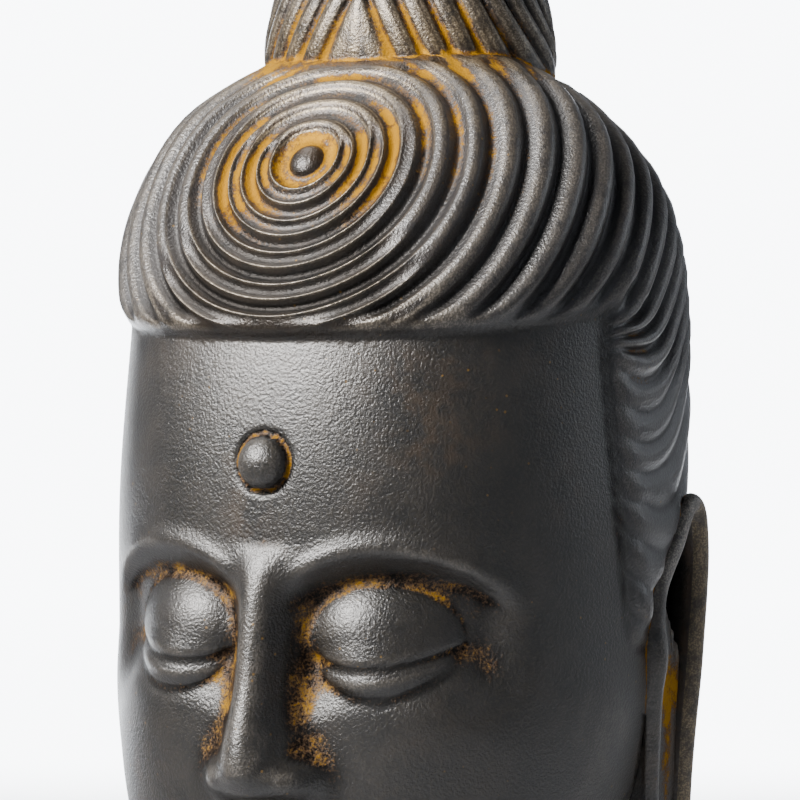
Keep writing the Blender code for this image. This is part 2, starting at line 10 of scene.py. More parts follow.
import bmesh
import bpy
import numpy as np
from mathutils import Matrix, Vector


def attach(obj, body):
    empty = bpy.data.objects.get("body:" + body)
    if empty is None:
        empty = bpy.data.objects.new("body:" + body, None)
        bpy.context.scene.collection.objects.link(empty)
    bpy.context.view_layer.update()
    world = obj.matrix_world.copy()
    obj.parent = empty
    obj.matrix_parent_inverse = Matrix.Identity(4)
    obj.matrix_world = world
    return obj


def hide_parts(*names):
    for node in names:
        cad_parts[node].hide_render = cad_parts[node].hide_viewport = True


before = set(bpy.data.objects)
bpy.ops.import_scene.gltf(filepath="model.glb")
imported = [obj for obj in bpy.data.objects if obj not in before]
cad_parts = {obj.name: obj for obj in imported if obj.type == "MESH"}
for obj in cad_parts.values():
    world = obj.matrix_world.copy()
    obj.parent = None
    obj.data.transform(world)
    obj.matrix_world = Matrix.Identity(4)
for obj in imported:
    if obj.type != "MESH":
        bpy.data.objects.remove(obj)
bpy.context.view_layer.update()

# Sizes of the head, in metres, as in the solid it stands for
NECK_HEIGHT = 0.060
FACE_THIRD = 0.090
HAIR_HALF_WIDTH = 0.1216
HAIR_FRONT = 0.1290
HAIR_BACK = 0.1260
CROWN_RISE = 0.1280
CROWN_AHEAD = 0.0140          # how far the widest part of the crown lies ahead of the axis
HAIR_THICK = 0.0070
SIDE_HAIR_THICK = 0.0045
NECK_HALF_WIDTH = 0.0740
NECK_HALF_DEPTH = 0.0660
NECK_BACK_SHIFT = 0.0150
NECK_FLARE = 0.0110
HAIRLINE_LIFT = 0.0086        # how much higher the hairline lies at its ends

# Topknot
KNOT_HALF_WIDTH = 0.0650
KNOT_HALF_DEPTH = 0.0520
KNOT_HEIGHT = 0.0860
KNOT_SEAT = 0.1140
KNOT_ROOT = 0.0300
KNOT_STRANDS = 30
KNOT_STRAND_DEPTH = 0.0034
KNOT_LEAN = 0.50
KNOT_COLUMNS = 8              # a strand
KNOT_ROWS = 40

# Ears, by the middle line of the rim
EAR_LENGTH = 0.1685
EAR_TOP_DROP = 0.0695
EAR_PLANE = 0.1176           # how far out that line stands, on the axis
EAR_FLARE = 0.15
EAR_TUCK = 0.0025            # how much closer the lobe lies to the head
EAR_RIM = 0.0043
EAR_HOLLOW = 0.0120
EAR_SINK = 0.0240            # hollow in the side of the head, under the ear's floor
EAR_ROOT = 0.0080

# Boss on the forehead
BOSS_RADIUS = 0.0105
BOSS_DROP = 0.0480
BOSS_PROUD = 0.0080

# Rings of hair
WHORL_BACK = 0.0944
WHORL_RISE = 0.0741
SKULL_CENTRE_DROP = 0.0500
BUTTON_ANGLE = radians(4.2)
RING_PITCH = radians(4.8)
PITCH_CHANGE = radians(0.6)  # wider in front, narrower behind
SIDE_PITCH = radians(4.85)
FRONT_STRANDS = 5
SIDE_STRANDS = 12.6
GROOVE_DEPTH = 0.0034
ROLL_DEPTH = 0.0038
BUTTON_PROUD = 0.0036
BUTTON_SHARE = 0.67          # of the way out to the first groove
CREST_SHARE = 0.27           # of a strand, from its groove to its crest
HAIR_EDGE = radians(66.5)    # where the hair beside the face starts, round from the face

CHIN = NECK_HEIGHT
HAIRLINE = CHIN + 3 * FACE_THIRD
BROW = HAIRLINE - FACE_THIRD
NOSE_BASE = BROW - FACE_THIRD
CENTRE = HAIRLINE - SKULL_CENTRE_DROP
EYE_WIDTH = 0.366 * HAIR_HALF_WIDTH
TURN = FRONT_STRANDS + (pi / 2 - BUTTON_ANGLE - FRONT_STRANDS * RING_PITCH) / SIDE_PITCH
NECK_TOP = TURN + SIDE_STRANDS
BOTTOM = NECK_TOP + 3.0
OFF_STRANDS = 40.0            # the level of what is joined to the head, past the last strand

# Mesh density
FACE_COLUMNS = 136
SIDE_COLUMNS = 36
BACK_COLUMNS = 36
BUTTON_ROWS = [0.97, 0.85, 0.72, 0.60, 0.50, 0.42, 0.36, 0.30, 0.15]
RING_ROWS = [0.0, 0.09, 0.17, 0.22, 0.25, 0.27, 0.29, 0.33, 0.40,
             0.5, 0.60, 0.67, 0.71, 0.73, 0.75, 0.78, 0.83, 0.91]
ROLL_ROWS = [0.0, 0.10, 0.20, 0.32, 0.50, 0.68, 0.80, 0.90]
NECK_ROWS = 10
EAR_COLUMNS = 180
EAR_SHARES = [0.03, 0.2, 0.35, 0.5, 0.62, 0.72, 0.80, 0.86, 0.90, 0.93, 0.955, 0.975, 0.99]
RIM_ROWS = 14
FEWEST_VERTICES = 100         # a shell of fewer is a crumb
FINE_DEPTH = 0.00035          # depth of a fine groove, and of a wide one, that counts as 1
WIDE_DEPTH = 0.0012

# Camera, as the photograph was taken
PICTURE = 800.0              # its width and height, in pixels
FOCUS = 2765.0               # focal length, in its pixels
CAMERA_AZIMUTH = radians(26.0)
CAMERA_DISTANCE = 1.20
AXIS_COLUMN = 409.0          # the head's axis in the picture
HORIZON_ROW = 318.0          # and the row of the camera's own height
SENSOR = 36.0

# Floor that curves up into a wall, and its glow behind the head
FLOOR_REACH = 2.2
BEND_RADIUS = 0.8
WALL_HEIGHT = 3.4
SWEEP_GLOW = 8.6

# Lamps: name, place, height they aim at, width and height, power, and colour
LAMPS = [("key", (-0.84, -1.42, 1.50), 0.36, (1.1, 0.9), 16.0, (1.0, 0.97, 0.94)),
         ("side", (1.40, 1.15, 0.80), 0.30, (0.6, 0.9), 0.3, (0.90, 0.95, 1.0)),
         ("top", (-0.55, 0.15, 1.7), 0.42, (0.6, 0.6), 0.7, (1.0, 0.98, 0.96))]
LAMP_BEAM = radians(50.0)
ROOM_COLOUR = (0.90, 0.94, 1.0)
ROOM_LIGHT = 0.015


def smooth(low, high, value):
    """0 below low, 1 above high, and an S-shaped rise between."""
    t = np.clip((value - low) / (high - low), 0.0, 1.0)
    return t * t * (3.0 - 2.0 * t)


def bell(value, width):
    """A bell curve of height 1."""
    return np.exp(-(value / width) ** 2)


def dome(value, power):
    """A rounded cap: 1 where value is 0, down to 0 where it is 1."""
    return np.clip(1.0 - value, 0.0, 1.0) ** power


def through(value, places, sizes):
    """A smooth curve through the sizes at the places, with no overshoot between them."""
    places = np.asarray(places, float)
    sizes = np.asarray(sizes, float)
    step = np.diff(places)
    slope = np.diff(sizes) / step
    lean = np.zeros(len(places))
    same = slope[:-1] * slope[1:] > 0
    total = np.where(same, slope[:-1] + slope[1:], 1.0)
    lean[1:-1] = np.where(same, 2.0 * slope[:-1] * slope[1:] / total, 0.0)
    lean[0], lean[-1] = slope[0], slope[-1]
    value = np.clip(value, places[0], places[-1])
    k = np.clip(np.searchsorted(places, value) - 1, 0, len(step) - 1)
    t = (value - places[k]) / step[k]
    blend = t * t * (3.0 - 2.0 * t)
    near = step[k] * lean[k] * t * (1.0 - t) ** 2
    far = step[k] * lean[k + 1] * t * t * (t - 1.0)
    return sizes[k] * (1.0 - blend) + sizes[k + 1] * blend + near + far


def soft_min(a, b, reach):
    """The smaller of two fields, rounded where they cross."""
    h = np.clip(0.5 + 0.5 * (b - a) / reach, 0.0, 1.0)
    return b * (1.0 - h) + a * h - reach * h * (1.0 - h)


def brows_and_eyes(side, z):
    """Sockets under arched brows, and round eyes with lowered lids, 0.3 thirds under the brow."""
    third, eye = FACE_THIRD, EYE_WIDTH
    eye_height = BROW - 0.30 * third
    arch = BROW + 0.08 * third - 0.150 * third * ((side - 1.10 * eye) / (0.88 * eye)) ** 2
    below = (arch - z) / third
    socket = smooth(-0.02, 0.13, below) * (1.0 - smooth(0.34, 0.70, below))
    socket = socket * smooth(0.10 * eye, 0.50 * eye, side)
    socket = socket * (1.0 - smooth(1.70 * eye, 2.20 * eye, side))
    ridge = smooth(0.1 * eye, 0.5 * eye, side) * (1.0 - smooth(1.5 * eye, 2.1 * eye, side))
    relief = third * (0.020 * bell(below + 0.030, 0.050) * ridge - 0.105 * socket)

    across = (side - eye) / (0.64 * eye)
    ball = across ** 2 + ((z - eye_height) / (0.25 * third)) ** 2
    relief += 0.125 * third * dome(ball, 1.0) ** 0.85
    lid = eye_height - third * (0.105 - 0.075 * across ** 2 - 0.020 * across)
    along = 1.0 - smooth(0.86, 1.06, np.abs(across))
    under = (lid - z) / third
    step = smooth(-0.014, 0.016, under)
    lower = bell(under - 0.062, 0.034) * 0.016
    return relief + third * along * (lower - 0.026 * step * (1.0 - smooth(0.03, 0.11, under)))


def nose(side, z):
    """A straight bridge that widens to rounded wings a third below the brow."""
    third = FACE_THIRD
    above = (z - NOSE_BASE) / third
    height = third * through(above, [-0.13, -0.04, 0.05, 0.15, 0.55, 0.96, 1.12],
                             [0.0, 0.060, 0.235, 0.290, 0.175, 0.080, 0.0])
    broad = third * through(above, [0.0, 0.12, 0.45, 0.90, 1.10],
                            [0.150, 0.150, 0.112, 0.092, 0.126])
    relief = height * np.exp(-0.75 * (side / broad) ** 2.4)
    wing = bell(side - 0.40 * EYE_WIDTH, 0.085 * third) * bell(above - 0.085, 0.085)
    nostril = bell(side - 0.22 * EYE_WIDTH, 0.050 * third) * bell(above + 0.045, 0.040)
    return relief + third * (0.115 * wing - 0.040 * nostril)


def mouth(side, z):
    """Full closed lips a third of the way from the nose to the chin, and the hollows round them."""
    third = FACE_THIRD
    middle = NOSE_BASE - third / 3.0
    half = 0.72 * EYE_WIDTH
    part = middle + third * (0.030 * (side / half) ** 2 - 0.012 * bell(side, 0.25 * half))
    relief = 0.063 * third * bell(side, 0.40 * third) * bell(z - middle, 0.25 * third)
    reach = np.clip(1.0 - (side / half) ** 2, 0.0, 1.0)
    bow = third * (0.012 + 0.085 * reach ** 0.8 * (1.0 - 0.20 * bell(side, 0.16 * half)))
    full = third * (0.012 + 0.108 * np.clip(1.0 - (side / (0.90 * half)) ** 2, 0.0, 1.0) ** 0.6)
    upper = np.clip((z - part) / bow, 0.0, 1.0)
    lower = np.clip((part - z) / full, 0.0, 1.0)
    lips = 0.046 * np.sin(pi * upper) + 0.060 * np.sin(pi * lower)
    relief += third * lips * smooth(0.0, 0.5, reach)
    closed = 1.0 - smooth(0.85 * half, 1.10 * half, side)
    relief -= 0.026 * third * bell(z - part, 0.026 * third) * closed
    relief -= (0.023 * third * bell(side - 1.08 * half, 0.053 * third)
               * bell(z - part, 0.063 * third))
    groove = (smooth(0.09 * third, 0.14 * third, z - middle)
              * smooth(0.0, 0.05 * third, NOSE_BASE - z))
    relief -= 0.013 * third * bell(side, 0.040 * third) * groove
    under_lip = bell(z - middle + 0.215 * third, 0.068 * third) * bell(side, 0.25 * third)
    return relief - 0.042 * third * under_lip


def from_boss(x, z):
    """How many of its radii a place lies from the middle of the boss on the forehead."""
    return np.sqrt(x ** 2 + (z - HAIRLINE + BOSS_DROP) ** 2) / BOSS_RADIUS


def face_relief(x, z):
    """How far the features stand ahead of the plain front of the skull.

    The places are a canon: the face is three thirds high and five eyes wide.
    """
    side = np.abs(x)
    third = FACE_THIRD
    relief = brows_and_eyes(side, z) + nose(side, z) + mouth(side, z)
    relief += 0.068 * third * bell(z - CHIN - 0.23 * third, 0.179 * third) * bell(x, 0.23 * third)
    cheek = bell(side - 1.35 * EYE_WIDTH, 0.32 * third)
    cheek = cheek * bell(z - NOSE_BASE - 0.33 * third, 0.32 * third)
    relief += 0.047 * third * cheek
    boss = from_boss(x, z)
    return relief + BOSS_PROUD * dome(boss ** 2, 0.5) - 0.15 * BOSS_PROUD * bell(boss - 1.10, 0.14)


def skull(x, y, z):
    """The bare head without its neck: an oval at every height, with the face's relief in front."""
    rise = z - HAIRLINE
    skull_top = CROWN_RISE - 0.7 * HAIR_THICK
    down = -rise / (3.0 * FACE_THIRD)
    side_dome = 1.0 - np.clip((rise - 0.26 * skull_top) / (0.74 * skull_top), 0.0, 1.0) ** 2
    front_dome = 1.0 - np.clip((rise + 0.55 * skull_top) / (1.55 * skull_top), 0.0, 1.0) ** 2
    back_dome = 1.0 - np.clip(rise / skull_top, 0.0, 1.0) ** 2
    jaw = 1.0 - np.clip((down - 0.815) / 0.185, 0.0, 1.0) ** 2
    nearly = 1e-8

    half = through(down, [-0.1, 0.0, 0.33, 0.50, 0.66, 0.79, 0.88, 1.0],
                   [1.0, 0.99, 1.02, 1.02, 0.97, 0.875, 0.76, 0.62])
    half = (HAIR_HALF_WIDTH - HAIR_THICK) * half
    half = half * np.sqrt(np.maximum(side_dome, nearly)) * np.sqrt(np.maximum(jaw, nearly))
    front = 1.073 * (HAIR_FRONT - HAIR_THICK) * np.sqrt(np.maximum(front_dome, nearly))
    front = front * through(down, [0.0, 0.3, 0.6, 0.8, 0.9, 1.0],
                            [1.0, 1.005, 0.985, 0.968, 0.935, 0.90])
    back = (HAIR_BACK - HAIR_THICK) * np.sqrt(np.maximum(back_dome, nearly))
    back = back * through(down, [0.0, 0.17, 0.35, 0.50, 0.65, 0.80, 1.0],
                          [1.0, 0.985, 0.90, 0.76, 0.56, 0.30, -0.10])
    middle = -0.54 * HAIR_BACK * through(down, [0.45, 0.80, 1.0], [0.0, 0.44, 1.0])
    middle = middle - CROWN_AHEAD * smooth(0.42 * CROWN_RISE, 0.75 * CROWN_RISE, rise)

    ahead = smooth(0.0, 0.060, -y)
    yy = y + face_relief(x, z) * ahead - middle
    reach = np.where(yy < 0.0, front + middle, back - middle) * np.sqrt(np.maximum(jaw, nearly))
    ratio = half / np.maximum(reach, nearly)
    behind = through(rise / CROWN_RISE, [-0.45, -0.2, 0.0, 0.2, 0.42, 0.8],
                     [2.0, 2.2, 2.2, 2.0, 1.8, 1.9])
    power = np.where(yy < 0.0, 2.25, behind)
    field = (np.abs(x) ** power + (np.abs(yy) * ratio) ** power) ** (1.0 / power) - half
    return field + np.maximum(rise - skull_top, 0.0) + np.maximum(CHIN - z, 0.0)


def head_field(p):
    """Negative inside the bare head and neck, positive outside, a distance close to the skin."""
    x, y, z = p[..., 0], p[..., 1], p[..., 2]
    flare = NECK_FLARE * np.clip(1.0 - z / (0.62 * NECK_HEIGHT), 0.0, 1.0) ** 2
    wide = NECK_HALF_WIDTH + flare
    deep = NECK_HALF_DEPTH + flare
    neck = np.sqrt(x ** 2 + ((y - NECK_BACK_SHIFT) * wide / deep) ** 2) - wide
    neck = np.maximum(neck, z - BROW)
    return soft_min(skull(x, y, z), neck, 0.020)


def spine(level, turn):
    """Where the rays of a level start, and how they fan: origin, tilt of the axis, and cone angle.

    Levels count strands out from the button's edge. Up to TURN the rays make cones round the
    whorl's axis from the middle of the skull. From there they lie in planes that turn level on the
    way down to the neck, and stay level down to the underside.
    """
    lift = np.arctan2(WHORL_RISE + SKULL_CENTRE_DROP, WHORL_BACK)
    pitch = RING_PITCH + PITCH_CHANGE * np.cos(turn)
    last_ring = BUTTON_ANGLE + FRONT_STRANDS * pitch
    onward = (level - FRONT_STRANDS) * (pi / 2 - last_ring) / (TURN - FRONT_STRANDS)
    cone = np.where(level < FRONT_STRANDS, BUTTON_ANGLE + level * pitch, last_ring + onward)
    cone = np.where(level < 0.0, BUTTON_ANGLE * (1.0 + level), np.minimum(cone, pi / 2))
    part = np.clip((level - TURN) / (NECK_TOP - TURN), 0.0, 1.0)
    last = np.clip((level - NECK_TOP) / (BOTTOM - NECK_TOP), 0.0, 1.0)
    start_z = CENTRE + (CHIN - CENTRE) * part - CHIN * last
    return NECK_BACK_SHIFT * part, start_z, (pi / 2 - lift) * (1.0 - part), cone


def skin_along(start, ray, steps=24):
    """Where each ray leaves the bare head, found by halving."""
    near = np.zeros(ray.shape[:-1])
    far = np.full(ray.shape[:-1], 1.4 * (HAIR_FRONT + CROWN_RISE))
    for _ in range(steps):
        half = 0.5 * (near + far)
        inside = head_field(start + ray * half[..., None]) < 0.0
        near = np.where(inside, half, near)
        far = np.where(inside, far, half)
    return start + ray * near[..., None]


def shoot(level, turn, steps=24):
    """Points on the bare head at each level and turn."""
    start_y, start_z, tilt, cone = spine(level, turn)
    ray = np.stack([np.sin(cone) * np.sin(turn),
                    -np.cos(cone) * np.sin(tilt) - np.sin(cone) * np.cos(turn) * np.cos(tilt),
                    np.cos(cone) * np.cos(tilt) - np.sin(cone) * np.cos(turn) * np.sin(tilt)],
                   axis=-1)
    start = np.stack([np.zeros_like(start_y), start_y, start_z], axis=-1)
    return skin_along(start, ray, steps)


def outward(p):
    """The direction straight out of the bare head at points on it."""
    step = 0.0008
    base = head_field(p)
    lean = np.stack([head_field(p + step * axis) - base for axis in np.eye(3)], axis=-1)
    return lean / np.linalg.norm(lean, axis=-1, keepdims=True)


def round_head(p):
    """The angle round the head's axis from the face, and the height above the hairline."""
    return np.arctan2(np.abs(p[..., 0]), -p[..., 1]), p[..., 2] - HAIRLINE


def garland(p):
    """How many strands the hair beside the face is pushed on, so that its strands hang in U shapes.

    The push grows with the square of the angle ahead of the fold.
    """
    angle, rise = round_head(p)
    fold = radians(97.0)
    run = fold - np.clip(angle, radians(70.0), fold)
    run = run * smooth(radians(35.0), radians(70.0), angle) ** 0.5
    push = 12.5 * run ** 2
    return push * (1.0 - smooth(-0.010, 0.014, rise)) * (1.0 - smooth(0.135, 0.200, -rise))


def hairline_edge(angle):
    """How high the hairline lies above its front, at each angle round the head."""
    return HAIRLINE_LIFT * np.minimum(angle / radians(65.0), 1.2) ** 2


def hair_thickness(p):
    """How far the smooth body of the hair stands off the bare head, 0 outside the hair.

    The cap ends in a rounded edge, tight in front and longer towards the temples, and the hair
    beside the face runs out softly ahead.
    """
    angle, rise = round_head(p)
    cap = HAIR_THICK + (SIDE_HAIR_THICK - HAIR_THICK) * smooth(radians(62.0), radians(90.0), angle)
    temple = smooth(radians(35.0), radians(60.0), angle)
    temple = temple * (1.0 - smooth(radians(70.0), radians(80.0), angle))
    share = np.clip((rise - hairline_edge(angle)) / (0.0085 + 0.0215 * temple), 0.0, 1.0)
    cap = cap * (1.0 - (1.0 - share) ** (3.2 - 1.2 * temple))
    low = -0.128 - 0.037 * smooth(radians(86.0), radians(104.0), angle)
    ahead = HAIR_EDGE + radians(7.5) * np.clip(-rise / 0.13, 0.0, 1.5) ** 1.5
    inner = np.minimum(HAIR_HALF_WIDTH * (angle - ahead), rise - low)
    side = SIDE_HAIR_THICK * smooth(0.0, 0.014, inner)
    return np.maximum(cap, side)


def boldness(level, turn):
    """1 where the strands are deep rolls, at the sides and low behind, 0 in front and on top."""
    off = np.abs(turn)
    side = smooth(radians(38.0), radians(72.0), off)
    side = side * (1.0 - smooth(radians(120.0), radians(150.0), off))
    return np.maximum(side, smooth(6.0, 7.5, level)) * smooth(1.0, 4.0, level)


def strand_relief(level, turn):
    """The carving: each strand is a band between two crests, and the strands meet in grooves.

    In front the band is a shallow hollow and the groove a steep trough, so that the crests are
    sharp. At the sides the band swells to a roll, and behind the whorl the two crests close to
    one. The button is a low dome in the first groove.
    """
    along = level - np.floor(level)
    edge = np.minimum(along, 1.0 - along)
    bold = boldness(level, turn)
    behind = smooth(radians(95.0), radians(140.0), np.abs(turn)) * (1.0 - bold)
    width = CREST_SHARE + 0.02 * bold + 0.14 * behind
    deep = GROOVE_DEPTH + (ROLL_DEPTH - GROOVE_DEPTH) * bold - 0.25 * GROOVE_DEPTH * behind
    hollow = 0.60 * GROOVE_DEPTH * smooth(-0.2, 0.6, level)
    hollow = hollow * (1.0 - 1.2 * behind) * (1.0 - bold)
    hollow = hollow - 0.30 * ROLL_DEPTH * bold
    trough = -deep * (1.0 - np.minimum(edge / width, 1.0) ** (2.0 - 0.7 * bold))
    band = -hollow * (1.0 - np.minimum((0.5 - edge) / (0.5 - width), 1.0) ** 2)
    outer = np.clip(1.0 + level, 0.0, 1.0) / BUTTON_SHARE
    button = BUTTON_PROUD * np.clip(1.0 - outer ** 2, 0.0, 1.0) ** 0.6 - GROOVE_DEPTH
    return np.where(level < 0.0, button, trough + band)


def strands_shown(p):
    """How much of the carving stays.

    It runs out at the hairline, ahead of the ear and round the topknot, and is shallower below the
    hairline.
    """
    angle, rise = round_head(p)
    beside = smooth(radians(64.0), radians(76.0), angle)
    edge = smooth(0.001, 0.012, rise - hairline_edge(angle))
    ahead = smooth(0.002, 0.024, HAIR_HALF_WIDTH * (angle - HAIR_EDGE))
    low = 1.0 - (0.45 - 0.25 * smooth(1.8, 2.3, angle)) * smooth(0.0, 0.03, -rise)
    seat = np.hypot(p[..., 0] / KNOT_HALF_WIDTH, p[..., 1] / KNOT_HALF_DEPTH)
    crown = 1.0 - (1.0 - smooth(1.00, 1.12, seat)) * smooth(0.5, 0.7, rise / CROWN_RISE)
    return (edge + (1.0 - edge) * beside * ahead * low) * crown * (1.0 - (1.0 - low) * beside)


def columns():
    """Turns of the columns: close over the face, wider at the sides and back."""
    front = np.linspace(-radians(45.0), radians(45.0), FACE_COLUMNS + 1)
    side = np.linspace(radians(45.0), radians(110.0), SIDE_COLUMNS + 1)[1:]
    back = np.linspace(radians(110.0), radians(250.0), BACK_COLUMNS + 1)[1:]
    last = np.linspace(radians(250.0), radians(315.0), SIDE_COLUMNS + 1)[1:-1]
    return np.concatenate([front, side, back, last])


def rows():
    """Levels of the rows: round the button, down the strands, and in wider steps down the neck."""
    rings = np.arange(FRONT_STRANDS)[:, None] + np.array(RING_ROWS)
    rolls = np.arange(FRONT_STRANDS, int(NECK_TOP) + 1)[:, None] + np.array(ROLL_ROWS)
    strands = np.concatenate([rings.ravel(), rolls.ravel()])
    return np.concatenate([-np.array(BUTTON_ROWS), strands[strands < NECK_TOP - 0.05],
                           np.linspace(NECK_TOP, BOTTOM, NECK_ROWS)])


def settle(levels, turns):
    """Where along each column the rows lie, so that they follow the strands into the garlands."""
    steps = np.linspace(-0.999, BOTTOM, 260)
    grid, turn = np.meshgrid(steps, turns, indexing="ij")
    pushed = np.maximum.accumulate(grid + garland(shoot(grid, turn, 14)), axis=0)
    return np.stack([np.interp(levels, pushed[:, k], steps) for k in range(len(turns))], axis=1)


def ring_faces(points):
    """The numbers of the points in rings, of the next point round, and the quads between."""
    count, across = points.shape[:2]
    corner = np.arange(count * across).reshape(count, across)
    after = np.roll(corner, -1, axis=1)
    quads = np.stack([corner[:-1], after[:-1], after[1:], corner[1:]], axis=-1).reshape(-1, 4)
    return corner, after, quads


def closed_grid(points):
    """Vertices and faces of rings of points: quads between the rings, and a fan at either end."""
    corner, after, quads = ring_faces(points)
    first, last = corner.size, corner.size + 1
    head_fan = np.stack([np.full(len(corner[0]), first), after[0], corner[0]], axis=-1)
    foot_fan = np.stack([np.full(len(corner[0]), last), corner[-1], after[-1]], axis=-1)
    poles = np.stack([points[0].mean(axis=0), points[-1].mean(axis=0)])
    vertices = np.concatenate([points.reshape(-1, 3), poles])
    return vertices, quads, np.concatenate([head_fan, foot_fan])


def add_object(name, data):
    """A new object in the scene."""
    made = bpy.data.objects.new(name, data)
    bpy.context.scene.collection.objects.link(made)
    return made


def surface_object(name, points, marks):
    """An object of a closed grid of rings, with one number a point in each mark."""
    vertices, quads, fans = closed_grid(points)
    mesh = bpy.data.meshes.new(name)
    mesh.vertices.add(len(vertices))
    mesh.vertices.foreach_set("co", vertices.astype(np.float32).ravel())
    corners = np.concatenate([quads.ravel(), fans.ravel()])
    starts = np.concatenate([4 * np.arange(len(quads)), 4 * len(quads) + 3 * np.arange(len(fans))])
    mesh.loops.add(len(corners))
    mesh.loops.foreach_set("vertex_index", corners.astype(np.int32))
    mesh.polygons.add(len(starts))
    mesh.polygons.foreach_set("loop_start", starts.astype(np.int32))
    mesh.update(calc_edges=True)
    mesh.validate()
    for mark, values in marks.items():
        layer = mesh.attributes.new(mark, "FLOAT", "POINT")
        poles = [values[0].mean(), values[-1].mean()]
        layer.data.foreach_set("value", np.concatenate([values.ravel(), poles]).astype(np.float32))
    return add_object(name, mesh)


def marks_for(points, **known):
    """Every mark for a grid of points: the known ones, and the rest as on a bare joined piece."""
    none = np.zeros(points.shape[:2])
    marks = {"flute": none, "arris": none, "bold": none, "hair": none, "level": none + OFF_STRANDS,
             "turn": none, "hollow": none}
    marks.update(known)
    return marks


def ear_edges(turn):
    """How far behind the axis the rim's front and back lines lie, from the ear's top down."""
    back = through(turn, [0.0, 0.2, 0.45, 0.77, 1.02, 1.25, 1.45, 1.65, 1.88, 2.09, 2.6, pi],
                   [0.0225, 0.0262, 0.0292, 0.0304, 0.0290, 0.0265, 0.0245, 0.0225, 0.0215, 0.0208,
                    0.0185, 0.0080])
    front = through(turn, [0.0, 0.2, 0.45, 0.61, 0.80, 0.96, 1.14, 1.29, 1.42, 1.65, 2.09, 2.6, pi],
                    [0.0225, 0.0190, 0.0140, 0.0095, 0.0005, -0.0065, -0.0090, -0.0104, -0.0104,
                     -0.0085, -0.0065, -0.0030, 0.0080])
    return front, back


def ear_place(y, z):
    """Where a place lies across the ear, 0 on its front line and 1 on its back, and down it."""
    down = (HAIRLINE - EAR_TOP_DROP - z) / EAR_LENGTH
    front, back = ear_edges(np.arccos(np.clip(1.0 - 2.0 * down, -1.0, 1.0)))
    return (y - front) / np.maximum(back - front, 0.004), down


def inside_ear(y, z):
    """Two shares: 1 in the hollow of the ear, and 1 where the ear covers the hair."""
    across, down = ear_place(y, z)
    hollow = smooth(-0.08, 0.05, across) * (1.0 - smooth(0.93, 1.05, across))
    hollow = hollow * smooth(0.05, 0.10, down) * (1.0 - smooth(0.86, 0.93, down))
    cover = smooth(-0.34, -0.06, across) * (1.0 - smooth(0.76, 0.90, across))
    return hollow, cover * smooth(0.02, 0.08, down) * (1.0 - smooth(0.95, 1.05, down))


def head_surface():
    """The head, row by row from the whorl to the underside, with its marks."""
    levels = rows()
    turns = columns()
    along = settle(levels, turns)
    turn = np.broadcast_to(turns, along.shape)
    level = np.broadcast_to(levels[:, None], along.shape)
    skin = shoot(along, turn)
    beside = smooth(0.5, 0.7, np.abs(skin[..., 0]) / HAIR_HALF_WIDTH)
    in_ear, covered = inside_ear(skin[..., 1], skin[..., 2])
    in_ear = in_ear * beside
    thick = hair_thickness(skin) * (1.0 - covered * beside)
    hair = smooth(0.0, 0.6, thick / SIDE_HAIR_THICK)
    turned = (turn + pi) % (2 * pi) - pi
    carve = strand_relief(level, turned) * strands_shown(skin)
    points = skin + outward(skin) * (thick + hair * carve - EAR_SINK * in_ear)[..., None]
    points[-1, :, 2] = 0.0
    along = level - np.floor(level)
    edge = np.minimum(along, 1.0 - along)
    bold = boldness(level, turned)
    arris = hair * strands_shown(skin) * bell(edge - CREST_SHARE, 0.025) * (level > 0.0)
    low = 1.0 - 0.6 * smooth(0.0, 0.04, HAIRLINE - skin[..., 2])
    marks = marks_for(points, arris=arris * (1.0 - 0.65 * bold), bold=bold * hair, hair=hair * low,
                      level=level, turn=turned, hollow=0.6 * smooth(0.0, 0.3, in_ear))
    return points[:, ::-1], {name: values[:, ::-1] for name, values in marks.items()}


def knot_surface():
    """A fluted bun: an upright superellipse over an oval, with flutes that lean off its front.

    Round the sides the flutes end in hooks. Each is a rib with its crest to one side and a fine
    second line, and they run out at the seat.
    """
    across = KNOT_STRANDS * KNOT_COLUMNS
    row = np.arange(1, KNOT_ROWS + 1)[:, None]
    turn = 2 * pi * np.arange(across)[None, :] / across
    high = 1.0 - (row / KNOT_ROWS) ** 1.5
    size = np.clip(1.0 - high ** 2.0, 0.0, 1.0) ** (1.0 / 2.2)
    off = np.minimum(turn, 2 * pi - turn)
    fan = smooth(0.0, 0.10, off) * (1.0 - smooth(pi - 0.5, pi, off))
    lean = KNOT_LEAN * KNOT_HEIGHT * (0.27 - high) / KNOT_HALF_WIDTH
    hook = 0.42 * smooth(0.7, 1.5, off) * np.clip(1.0 - high / 0.36, 0.0, 1.0) ** 2
    run = np.where(turn < pi, 1.0, -1.0) * fan * (lean + hook)
    part = (KNOT_STRANDS * turn / (2 * pi) + 0.5) % 1.0
    edge = np.minimum(part, 1.0 - part)
    roll = np.minimum(edge / 0.32, 1.0) ** 0.75 - 0.18 * bell(edge - 0.40, 0.06)
    flute = (KNOT_STRAND_DEPTH * (roll - 0.7) * smooth(0.1, 0.5, size)
             * smooth(-0.04, 0.10, high + 0.02))
    x = (KNOT_HALF_WIDTH * size + flute) * np.sin(turn + run)
    y = -(KNOT_HALF_DEPTH * size ** 1.5 + flute) * np.cos(turn + run)
    z = np.broadcast_to(HAIRLINE + KNOT_SEAT + KNOT_HEIGHT * high, x.shape)
    points = np.stack([x, y, z], axis=-1)
    root = points[-1:].copy()
    root[..., 2] -= KNOT_ROOT
    flutes = np.broadcast_to(bell(edge, 0.19) * smooth(0.2, 0.6, size), x.shape)
    flutes = np.concatenate([flutes, flutes[-1:]])
    points = np.concatenate([points, root])
    marks = marks_for(points, flute=flutes, hair=np.ones_like(flutes))
    return points[:, ::-1], {name: values[:, ::-1] for name, values in marks.items()}


